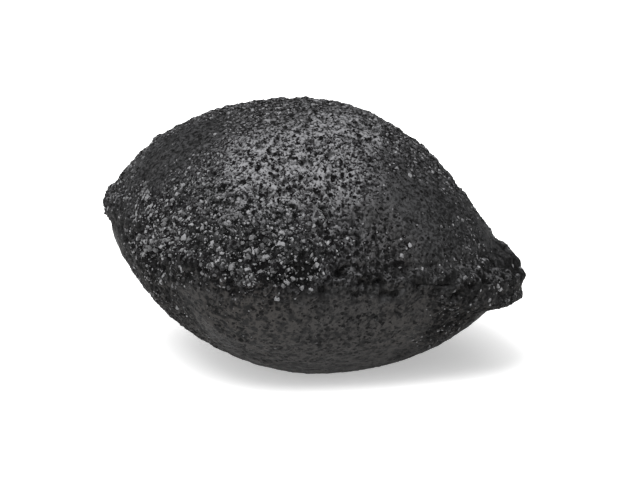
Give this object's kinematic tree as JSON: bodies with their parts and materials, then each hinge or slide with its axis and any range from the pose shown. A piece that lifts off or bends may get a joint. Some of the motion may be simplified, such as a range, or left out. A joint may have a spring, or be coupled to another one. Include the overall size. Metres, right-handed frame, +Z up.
{
  "type": "charcoal briquette",
  "caption": "Pillow-shaped pressed charcoal briquette with a rough seam ridge and a crumbly corner lip, burned as barbecue fuel.",
  "frame": {"origin": "under the middle of the briquette, on the surface that it lies on", "axes": "+Z up, across the two pressed domes; +X along the slightly longer side; the corner lip lies between +X and -Y"},
  "size_m": [0.05, 0.049, 0.0345],
  "materials": {
    "charcoal": "matt black pressed charcoal, granular, rougher along the seam"
  },
  "bodies": {
    "root": {"charcoal_ball": "charcoal"}
  },
  "joints": []
}
